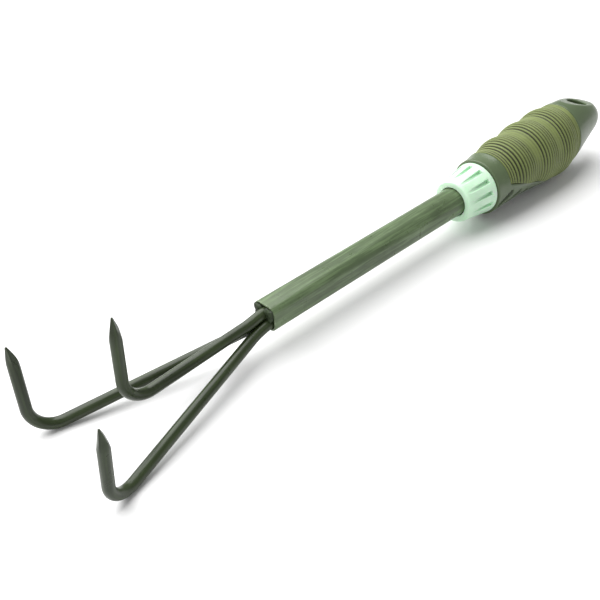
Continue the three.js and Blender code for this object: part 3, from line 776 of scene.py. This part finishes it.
def rounded_ring(half_width, half_height, corner, per_corner=14):
    """Points of a rounded rectangle around the tool axis, the first repeated at the end."""
    points = []
    for k, (sy, sz) in enumerate(((1, 1), (-1, 1), (-1, -1), (1, -1))):
        for angle in np.linspace(0, math.pi / 2, per_corner) + k * math.pi / 2:
            points.append((sy * (half_width - corner) + corner * math.cos(angle),
                           sz * (half_height - corner) + corner * math.sin(angle)))
    points.append(points[0])
    return np.array(points)


SOFT_SHARE = 0.35  # how far the tube's change from square to round starts and ends softly


def tube_section(x, inset, sizes):
    """The tube's outline at x, pressed nearly square at the mouth and round at the collar."""
    _, half_width, half_height = mouth_sizes(bpy.context.scene.cultivator_tines.rod)
    part = min(max((x - MOUTH_X) / sizes.pressed, 0.0), 1.0)
    ease = part * part * (3 - 2 * part) * SOFT_SHARE + part * (1 - SOFT_SHARE)
    half_width += (TUBE_RADIUS - half_width) * ease
    half_height += (TUBE_RADIUS - half_height) * ease
    corner = sizes.corner + (TUBE_RADIUS - 0.02 * MM - sizes.corner) * ease
    ring = rounded_ring(half_width - inset, half_height - inset, max(corner - inset, 0.3 * MM))
    return np.column_stack([np.full(len(ring), x), ring[:, 0], ring[:, 1] + AXIS_Z])


def shank_piece(sizes):
    length_x = TUBE_HIGH.x - MOUTH_X
    lip = [(0.0, 0.36), (0.05, 0.2), (0.16, 0.08), (0.34, 0.0)]  # rounded cut edge, mm
    outside = [tube_section(MOUTH_X + a * MM, b * MM, sizes) for a, b in lip]
    outside += [tube_section(x, 0, sizes) for x in MOUTH_X + np.linspace(0.8 * MM, length_x, 90)]
    inside = [tube_section(MOUTH_X + a * MM, TUBE_WALL - b * MM, sizes) for a, b in lip]
    inside += [tube_section(x, TUBE_WALL, sizes) for x in MOUTH_X + np.linspace(0.8 * MM, length_x, 60)]
    outside, inside = np.array(outside), np.array(inside)
    from_mouth = (outside[:, :1, 0] - MOUTH_X)
    rim = np.where(from_mouth < 0.35 * MM, 0.4, 0.0)
    built = Builder()
    built.grid(outside, wear=np.broadcast_to(rim, outside.shape[:2]))
    built.grid(inside)
    built.grid(np.array([outside[0], inside[0]]), wear=0.3)
    built.grid(np.array([outside[-1], inside[-1]]))
    return built.finish("painted_tube")


def lumps(points, height, seed):
    """Uneven radial push for weld metal, from a few fixed waves."""
    rng = np.random.default_rng(seed)
    total = np.zeros(points.shape[:-1])
    for size in (4.2, 2.6, 1.7, 1.1):
        for _ in range(3):
            direction = rng.normal(size=3)
            direction /= np.linalg.norm(direction)
            turns = points @ direction * 2 * math.pi / (size * MM)
            total += np.sin(turns + rng.uniform(0, 6.3)) * size / 10
    return total / np.abs(total).max() * height


def weld_bead(name, low, high, sizes, seed):
    """A lumpy bead of weld metal that fills the given box and swells outside the mouth."""
    low, high, height = np.array(low), np.array(high), sizes.lump
    middle, half = (low + high) / 2, (high - low) / 2
    across = np.linspace(0, math.pi, 40)
    around = np.linspace(0, 2 * math.pi, 65)
    a, b = np.meshgrid(across, around, indexing="ij")

    def soft(value):
        """Makes a sphere's coordinate a rounded box's."""
        return np.sign(value) * np.abs(value) ** 0.45

    belt = soft(np.sin(a))
    unit = np.stack([soft(np.cos(a)), belt * soft(np.cos(b)), belt * soft(np.sin(b))], -1)
    points = middle + unit * (half - height * 0.6)
    direction = unit / np.linalg.norm(unit, axis=-1, keepdims=True)
    points = points + direction * lumps(points, height, seed)[..., None]
    outside = 1 - smoothstep(points[..., 0], MOUTH_X - 0.3 * MM, MOUTH_X + 0.4 * MM)
    points[..., 1:] += (points[..., 1:] - middle[1:]) * (sizes.weld_swell * outside)[..., None]
    points[:, -1] = points[:, 0]
    points[0], points[-1] = points[0].mean(0), points[-1].mean(0)
    return Builder().grid(points, wear=0.0).finish(name, 60.0)


class CULTIVATOR_OT_shank(bpy.types.Operator):
    """Build the pressed tube and the weld metal in its mouth"""
    bl_idname = "cultivator.shank"
    bl_label = "Shank tube and weld"

    def execute(self, context):
        sizes = context.scene.cultivator_shank
        tube = give(shank_piece(sizes), paint_finish("tube_paint", sizes.paint, False))
        settle(tube, ["shank_tube"])
        weld = weld_finish(sizes.paint)
        for name, node in (("weld_bead_left", "weld_left"), ("weld_bead_right", "weld_right")):
            low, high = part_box(node)
            low.x -= sizes.weld_out
            bead = weld_bead(name, low, high, sizes, len(name))
            settle(give(bead, weld), [node])
        return {"FINISHED"}


# ---------------------------------------------------------------- collar

REAR_EDGE = 0.6 * MM  # rounding of the collar's rear rim


def collar_radius(x, sizes):
    """Outer radius of the collar without its flutes."""
    nose, rear = COLLAR_LOW.x, COLLAR_HIGH.x
    shoulder = sizes.floor + 0.1 * MM  # the flutes start this shallow
    nose_radius = shoulder - sizes.nose_drop
    rise = np.clip((x - nose) / sizes.shoulder, 0, 1)
    rounded = nose_radius + (shoulder - nose_radius) * np.sqrt(1 - (1 - rise) ** 2)
    cone = shoulder + (COLLAR_REAR_RADIUS - shoulder) * (x - nose - sizes.shoulder) / (
        rear - REAR_EDGE - nose - sizes.shoulder)
    radius = np.where(x < nose + sizes.shoulder, rounded, cone)
    edge = np.clip((x - rear + REAR_EDGE) / REAR_EDGE, 0, 1)
    return np.where(edge > 0, COLLAR_REAR_RADIUS - REAR_EDGE * (1 - np.sqrt(1 - edge ** 2)), radius)


class CULTIVATOR_OT_collar(bpy.types.Operator):
    """Build the fluted collar from one sector, repeated around the tool axis"""
    bl_idname = "cultivator.collar"
    bl_label = "Collar"

    def execute(self, context):
        sizes = context.scene.cultivator_collar
        nose, rear = COLLAR_LOW.x, COLLAR_HIGH.x
        sector = math.pi / sizes.flutes
        half = sizes.flute_width / 2
        groove_end = rear - sizes.land
        stations = np.concatenate([
            nose + np.array([0, 0.05, 0.15, 0.35, 0.7, 1.2, 1.8, 2.4]) * MM,
            np.linspace(nose + 3.2 * MM, groove_end - 0.9 * MM, 26),
            groove_end + np.array([-0.6, -0.35, -0.15, -0.05, 0.0, 0.05, 0.15, 0.35]) * MM,
            np.linspace(groove_end + 0.8 * MM, rear - 0.7 * MM, 6),
            rear + np.array([-0.6, -0.45, -0.3, -0.15, -0.05, 0.0]) * MM,
        ])
        # Distances across the sector, close together at the flute's two edges
        across = np.array([0, 0.2, 0.4, 0.6, 0.75, 0.85, 0.92, 0.97, 1.0, 1.04, 1.1, 1.18, 1.3]) * half
        reference = sizes.floor + 1.2 * MM
        beyond = np.linspace(across[-1] / reference, sector, 6)[1:]
        angles = np.concatenate([across / reference, beyond])
        angles = np.concatenate([-angles[:0:-1], angles])
        x, angle = np.meshgrid(stations, angles, indexing="ij")
        plain = collar_radius(x, sizes)
        off = np.abs(angle) * reference
        bowl = half - np.sqrt(np.maximum(half ** 2 - np.minimum(off, half) ** 2, 0))
        floor = sizes.floor + bowl * 0.45
        wall = 1 - smoothstep(off, 0.9 * half, 1.12 * half)
        end = 1 - smoothstep(x, groove_end - 0.18 * MM, groove_end + 0.18 * MM)
        deep = np.minimum(wall, end)
        radius = plain - np.maximum(plain - floor, 0) * deep
        groove = deep * np.clip((plain - floor) / (1.1 * MM), 0, 1)
        outer = np.stack([x, radius * np.sin(angle), radius * np.cos(angle)], -1)

        def inner_ring(place, size):
            return np.stack([place + 0 * angles, size * np.sin(angles), size * np.cos(angles)], -1)

        bore, socket, step = TUBE_RADIUS + sizes.clearance, SPIGOT_RADIUS + GAP, nose + sizes.front
        inner = np.array([
            outer[0], inner_ring(nose, bore + 0.3 * MM), inner_ring(nose + 0.3 * MM, bore),
            inner_ring(step, bore), inner_ring(step, socket), inner_ring(rear, socket), outer[-1],
        ])
        built = Builder().grid(outer, groove=groove).grid(inner)
        piece = built.finish("fluted_collar")
        material = collar_finish(sizes.plastic)
        bake_tree(piece, flute_tree(), {
            "Count": sizes.flutes, "Phase": sizes.phase, "Axis height": AXIS_Z,
            "Weld": 0.004 * MM, "Material": material,
        })
        shade(piece.data, 40.0)
        settle(give(piece, material), ["collar"])
        return {"FINISHED"}


# ---------------------------------------------------------------- handle and grip

PANEL_SHARE = 0.8  # length of the panel under the grip, as a share of the grip's
PANEL_FRONT_HEIGHT = 4 * MM
PANEL_SLOPE = 0.38
PANEL_END = GRIP_LOW.x + PANEL_SHARE * (GRIP_HIGH.x - GRIP_LOW.x)
UPPER_COLUMNS = 150
LOWER_COLUMNS = 64
SIDE_REACH = 15 * MM  # turns angles near the panel's edge into distances
EDGE_STEPS = np.array([0, 0.1, 0.3, 0.6])  # rows over a rounded edge, as shares of its radius


def panel_edge(x):
    """Height of the panel's upper edge above the tool axis."""
    return PANEL_FRONT_HEIGHT - PANEL_SLOPE * (np.asarray(x) - GRIP_LOW.x)


def edge_angle(x, clearance):
    """Angle from the top at which the handle's surface meets the panel's upper edge."""
    x = np.clip(x, GRIP_LOW.x, PANEL_END)
    _, half_height, middle = handle_sizes(x)
    return np.arccos(np.clip((panel_edge(x) + clearance - middle) / half_height, -1, 1))


def upper_angles(x, clearance=0.0):
    """For each x, angles over the top from one panel edge to the other."""
    limit = edge_angle(x, clearance)
    return limit[:, None] * np.linspace(-1, 1, UPPER_COLUMNS + 1)[None, :]


def lower_angles(x, clearance=0.0):
    """For each x, angles underneath from one panel edge to the other."""
    limit = edge_angle(x, clearance)
    part = np.linspace(0, 1, LOWER_COLUMNS + 1)[None, :]
    return limit[:, None] + (2 * math.pi - 2 * limit[:, None]) * part


def all_angles(x):
    return np.concatenate([upper_angles(x), lower_angles(x)[:, 1:]], axis=1)


def hidden_sheets(start, end, depth, clearance=0.0):
    """The faces between grip and core: above the panel, then behind it on top and below."""
    before, after = np.linspace(start, PANEL_END, 16), np.linspace(PANEL_END, end, 6)
    return [handle_points(x[:, None], angles(x, clearance), depth)
            for x, angles in ((before, upper_angles), (after, upper_angles), (after, lower_angles))]


def swell_at(x, angle, sizes):
    """Height of the finger swells, full on top and fading underneath."""
    fade = np.clip(np.minimum(x - GRIP_LOW.x, GRIP_HIGH.x - x) / sizes.swell_fade, 0, 1)
    wave = np.cos(2 * math.pi * (x - HANDLE_FRONT - sizes.first_swell) / sizes.swell_pitch)
    return fade * sizes.swell_height * wave * np.sqrt(0.5 + 0.5 * np.cos(angle))


def edge_round(distance, radius):
    """Inset of a rounded edge at a distance from it."""
    part = np.clip(1 - distance / radius, 0, 1)
    return radius * (1 - np.sqrt(np.maximum(1 - part ** 2, 0)))


class CULTIVATOR_OT_grip(bpy.types.Operator):
    """Build the soft grip with its finger swells and ring grooves"""
    bl_idname = "cultivator.grip"
    bl_label = "Soft grip"

    def execute(self, context):
        sizes = context.scene.cultivator_grip
        start, end, lip = GRIP_LOW.x, GRIP_HIGH.x, sizes.edge
        near = EDGE_STEPS * lip
        before = np.concatenate([start + near, np.linspace(start + lip, PANEL_END, 248)])
        after = np.concatenate([np.linspace(PANEL_END, end - lip, 62), end - near[::-1]])
        built = Builder()

        def surface(x, angle, side_round=False):
            x = np.broadcast_to(x[:, None], angle.shape)
            inset = edge_round(x - start, lip) + edge_round(end - x, lip)
            if side_round:
                inset = inset + edge_round((np.abs(angle[:, :1]) - np.abs(angle)) * SIDE_REACH, lip)
            swell = swell_at(x, angle, sizes)
            points = handle_points(x, angle, np.minimum(inset, lip), swell)
            # crest marks the swell tops, where the finish paints highlight
            built.grid(points, along=x - HANDLE_FRONT,
                       around=np.abs(np.arctan2(np.sin(angle), np.cos(angle))),
                       crest=smoothstep(swell, 0.1 * MM, sizes.swell_height),
                       outer=smoothstep(lip - inset, 0.5 * lip, lip))
            return points

        upper_before = surface(before, upper_angles(before, GAP), True)
        upper_after = surface(after, upper_angles(after, GAP))
        lower_after = surface(after, lower_angles(after, GAP))
        sheets = hidden_sheets(start, end, sizes.thickness, GAP)
        for sheet in sheets:
            built.grid(sheet)
        under_before, under_after, under_lower = sheets
        for outside, inside in ((upper_before[0], under_before[0]), (upper_after[-1], under_after[-1]),
                                (lower_after[-1], under_lower[-1]), (lower_after[0], under_lower[0])):
            built.grid(np.array([outside, inside]))
        for column in (0, -1):
            built.bridge(upper_before[:, column], under_before[:, column])
        piece = built.finish("soft_grip", 45.0)
        material = grip_finish(sizes.rubber)
        bake_tree(piece, groove_tree(), {
            "Pitch": sizes.groove_pitch, "Depth": sizes.groove_depth,
            "First groove": sizes.first_groove, "Wall foot": 0.4, "Wall top": 0.19,
            "Swell pitch": sizes.swell_pitch, "First swell": sizes.first_swell,
            "Front end": sizes.full_grooves, "Valley": -0.9, "Swell": -0.4,
            "Valley share": sizes.valley_share, "Side share": sizes.side_share,
            "Side start": math.radians(55), "Side end": math.radians(95), "Material": material,
        })
        settle(give(piece, material), ["grip_sleeve"])
        return {"FINISHED"}


def tail_plane(hole_x, reach, depth):
    """Height, at any x, of the plane of the flat around the hang hole."""
    def top(x):
        _, half_height, middle = handle_sizes(np.array([x]))
        return AXIS_Z + float((half_height + middle)[0])

    fall = (top(hole_x - reach) - top(hole_x + reach)) / (2 * reach)
    height = top(hole_x) - depth * math.sqrt(1 + fall ** 2)
    return lambda x: height - fall * (x - hole_x)


def press_flat(points, plane_at, from_x):
    """Presses points that stand over the plane down onto it, with a soft edge."""
    plane = plane_at(points[..., 0])
    over = points[..., 2] - plane
    soft = 0.35 * MM
    pressed = np.where(over > soft, 0.0, (over - soft) ** 2 / (-4 * soft))
    touched = (points[..., 0] > from_x) & (over > -soft)
    points[..., 2] = np.where(touched, plane + pressed, points[..., 2])


def hole_cutter(hole_x, radius, plane_at):
    """A bar down through the tail, flared where it meets the flat so that the rim is round."""
    angles = np.linspace(0, 2 * math.pi, 97)
    rounding = 0.9 * MM
    rings = []

    def ring(size, height_at):
        x = hole_x + size * np.cos(angles)
        rings.append(np.stack([x, size * np.sin(angles), np.broadcast_to(height_at(x), x.shape)], -1))

    ring(radius, lambda x: AXIS_Z - 2 * TUBE_RADIUS)
    # The flare stops short of level: a rim that only touched the flat couldn't be cut cleanly
    for turn in np.linspace(0, 0.9, 9) * math.pi / 2:
        ring(radius + rounding * (1 - math.cos(turn)),
             lambda x: plane_at(x) - rounding * (1 - math.sin(turn)))
    ring(radius + rounding, lambda x: plane_at(x) + 12 * MM)
    rings = np.array(rings)
    rings[:, -1] = rings[:, 0]
    built = Builder().grid(rings)
    built.fan(rings[0], rings[0][:-1].mean(0)).fan(rings[-1], rings[-1][:-1].mean(0))
    return built.finish("hole_cutter")


class CULTIVATOR_OT_handle(bpy.types.Operator):
    """Build the hard handle: front ring, slotted panel, spigot and tail with its hang hole"""
    bl_idname = "cultivator.handle"
    bl_label = "Hard handle"

    def execute(self, context):
        sizes = context.scene.cultivator_handle
        seat = context.scene.cultivator_grip.thickness + GAP
        front_end, tail_start, lip = GRIP_LOW.x - GAP, GRIP_HIGH.x + GAP, sizes.edge
        near = EDGE_STEPS * lip

        # The ring's front edge is rounded all round, its rear edge only above the panel
        flat = np.linspace(HANDLE_FRONT + lip, front_end - lip, 18)
        front = np.concatenate([HANDLE_FRONT + near, flat, front_end - near[::-1]])
        angle = all_angles(np.full(len(front), GRIP_LOW.x))
        over_top = (np.arange(angle.shape[1]) <= UPPER_COLUMNS)[None, :]
        rear_edge = edge_round(front_end - front, lip)[:, None] * over_top
        inset = edge_round(front - HANDLE_FRONT, lip)[:, None] + rear_edge
        front_rings = handle_points(front[:, None], angle, inset)
        built = Builder().grid(front_rings, panel=np.where(over_top, 0.0, 1.0))

        panel_x = np.linspace(front_end, PANEL_END, 150)
        lower = lower_angles(panel_x)
        limit = lower[:, :1]
        side_gap = np.minimum(lower - limit, 2 * math.pi - limit - lower) * SIDE_REACH
        panel_rings = handle_points(panel_x[:, None], lower, edge_round(side_gap, lip))
        panel_rings[0] = handle_points(panel_x[:1, None], lower[:1], 0.0)[0]
        built.grid(panel_rings, panel=1.0)

        sheets = hidden_sheets(front_end, tail_start, seat)
        for sheet in sheets:
            built.grid(sheet)
        under_before, under_after, under_lower = sheets
        built.grid(np.array([front_rings[-1][:UPPER_COLUMNS + 1], under_before[0]]))
        built.grid(np.array([panel_rings[-1], under_lower[0]]))
        built.bridge(panel_rings[:, 0], under_before[:, -1])
        built.bridge(panel_rings[:, -1], under_before[:, 0])

        hole_x = HANDLE_END - sizes.hole_from_end
        plane_at = tail_plane(hole_x, sizes.flat_reach, sizes.flat_depth)
        part = np.sin(np.linspace(0, math.pi / 2, 84))
        round_start = tail_start + lip
        tail_x = np.concatenate([tail_start + near, round_start + (HANDLE_END - round_start) * part])
        tail_rings = handle_points(tail_x[:, None], all_angles(tail_x),
                                   edge_round(tail_x - tail_start, lip)[:, None])
        press_flat(tail_rings, plane_at, hole_x - 1.35 * sizes.flat_reach)
        built.grid(tail_rings)
        built.grid(np.array([tail_rings[0], np.concatenate([under_after[-1], under_lower[-1][1:]])]))
        built.fan(tail_rings[-1], tail_rings[-1][:-1].mean(0))

        socket, socket_end = TUBE_RADIUS + GAP, TUBE_HIGH.x + GAP
        chain = [front_rings[0]] + [circle_points(place, angle[0], radius) for place, radius in (
            (HANDLE_FRONT, SPIGOT_RADIUS), (CORE_LOW.x, SPIGOT_RADIUS),
            (CORE_LOW.x, socket), (socket_end, socket))]
        built.grid(np.array(chain)).fan(chain[-1], (socket_end, 0, AXIS_Z))
        piece = built.finish("hard_handle", 42.0)

        first_x = HANDLE_FRONT + sizes.slot_start
        first_z = AXIS_Z + float(panel_edge(first_x)) - sizes.slot_below_edge
        material = handle_finish(sizes.plastic)
        bake_tree(piece, slot_tree(), {
            "Count": sizes.slots, "First slot": (first_x, 0.0, first_z),
            "Step": (sizes.slot_pitch, 0.0, -PANEL_SLOPE * sizes.slot_pitch),
            "Run": sizes.slot_length - sizes.slot_width, "Lean": sizes.slot_lean,
            "Half width": sizes.slot_width / 2, "Edge": 0.22 * MM, "Depth": sizes.slot_depth,
            "Material": material,
        })
        cutter = hole_cutter(hole_x, sizes.hole / 2, plane_at)
        drill = piece.modifiers.new("Hang hole", "BOOLEAN")
        drill.operation, drill.solver, drill.object = "DIFFERENCE", "EXACT", cutter
        keep_evaluated(piece)
        bpy.data.objects.remove(cutter)
        highest = max((vertex.co.z for vertex in piece.data.vertices), default=math.inf)
        if highest > CORE_HIGH.z + 1 * MM:
            raise RuntimeError("the hang hole could not be cut")
        shade(piece.data, 42.0)
        settle(give(piece, material), ["handle_core"])
        return {"FINISHED"}


# ---------------------------------------------------------------- stage

CAMERA_PLACE = (-212.95 * MM, -263.98 * MM, 263.34 * MM)  # from the middle of the tube's mouth
CAMERA_TURN = (52.967, 2.636, -43.708)  # degrees about X, Y and Z
FLOOR_HALF = 4.0
FLOOR_DROP = 0.2 * MM  # keeps the floor clear of the lowest rods
# Name, place from the lights' target, size, and power as a share of the key light's
LIGHTS = (("key", (-0.1, 0.6, 1.0), 1.7, 1.3), ("side", (-0.9, -0.7, 0.7), 0.8, 0.06))


class CULTIVATOR_OT_stage(bpy.types.Operator):
    """Lay the pale floor and set the soft lights and the camera"""
    bl_idname = "cultivator.stage"
    bl_label = "Floor, lights and camera"

    def execute(self, context):
        sizes = context.scene.cultivator_stage
        scene = context.scene
        mesh = bpy.data.meshes.new("floor")
        corners = [(x * FLOOR_HALF, y * FLOOR_HALF, -FLOOR_DROP)
                   for x, y in ((-1, -1), (1, -1), (1, 1), (-1, 1))]
        mesh.from_pydata(corners, [], [(0, 1, 2, 3)])
        floor = bpy.data.objects.new("floor", mesh)
        scene.collection.objects.link(floor)
        give(floor, floor_finish(sizes.floor))

        world = bpy.data.worlds.new("studio")
        world.use_nodes = True
        background = world.node_tree.nodes["Background"]
        background.inputs["Color"].default_value = (1, 1, 1, 1)
        background.inputs["Strength"].default_value = sizes.fill
        scene.world = world

        target = Vector((MOUTH_X + 0.06, 0, AXIS_Z))
        for name, place, size, power in LIGHTS:
            data = bpy.data.lights.new(name, "AREA")
            data.shape = "SQUARE"
            data.size = size
            data.energy = power * sizes.key
            light = bpy.data.objects.new(name, data)
            light.location = target + Vector(place)
            light.rotation_euler = (target - light.location).to_track_quat("-Z", "Y").to_euler()
            scene.collection.objects.link(light)

        camera_data = bpy.data.cameras.new("camera")
        camera_data.lens = 55.47
        camera_data.clip_start = 10 * MM
        camera = bpy.data.objects.new("camera", camera_data)
        camera.location = Vector((MOUTH_X, 0, AXIS_Z)) + Vector(CAMERA_PLACE)
        camera.rotation_euler = [math.radians(turn) for turn in CAMERA_TURN]
        scene.collection.objects.link(camera)
        scene.camera = camera
        scene.view_settings.view_transform = "Standard"
        return {"FINISHED"}


# ---------------------------------------------------------------- add-on

class CULTIVATOR_PT_panel(bpy.types.Panel):
    """Lists the pieces of the hand cultivator"""
    bl_idname = "CULTIVATOR_PT_panel"
    bl_label = "Hand cultivator"
    bl_space_type = "VIEW_3D"
    bl_region_type = "UI"
    bl_category = "Cultivator"

    def draw(self, context):
        for settings_name, operator in zip(SETTINGS, OPERATORS):
            box = self.layout.box()
            box.operator(operator.bl_idname)
            settings = getattr(context.scene, settings_name)
            for key in settings.__annotations__:
                box.prop(settings, key)


SETTINGS = {
    "cultivator_tines": TineSettings,
    "cultivator_shank": ShankSettings,
    "cultivator_collar": CollarSettings,
    "cultivator_handle": HandleSettings,
    "cultivator_grip": GripSettings,
    "cultivator_stage": StageSettings,
}
OPERATORS = (CULTIVATOR_OT_tines, CULTIVATOR_OT_shank, CULTIVATOR_OT_collar,
             CULTIVATOR_OT_handle, CULTIVATOR_OT_grip, CULTIVATOR_OT_stage)
CLASSES = (*SETTINGS.values(), *OPERATORS, CULTIVATOR_PT_panel)


def register():
    for entry in CLASSES:
        bpy.utils.register_class(entry)
    for name, settings in SETTINGS.items():
        setattr(bpy.types.Scene, name, PointerProperty(type=settings))


def unregister():
    for name in SETTINGS:
        delattr(bpy.types.Scene, name)
    for entry in reversed(CLASSES):
        bpy.utils.unregister_class(entry)


def main():
    register()
    bpy.ops.cultivator.tines()
    bpy.ops.cultivator.shank()
    bpy.ops.cultivator.collar()
    bpy.ops.cultivator.handle()
    bpy.ops.cultivator.grip()
    bpy.ops.cultivator.stage()


if __name__ == "__main__":
    main()
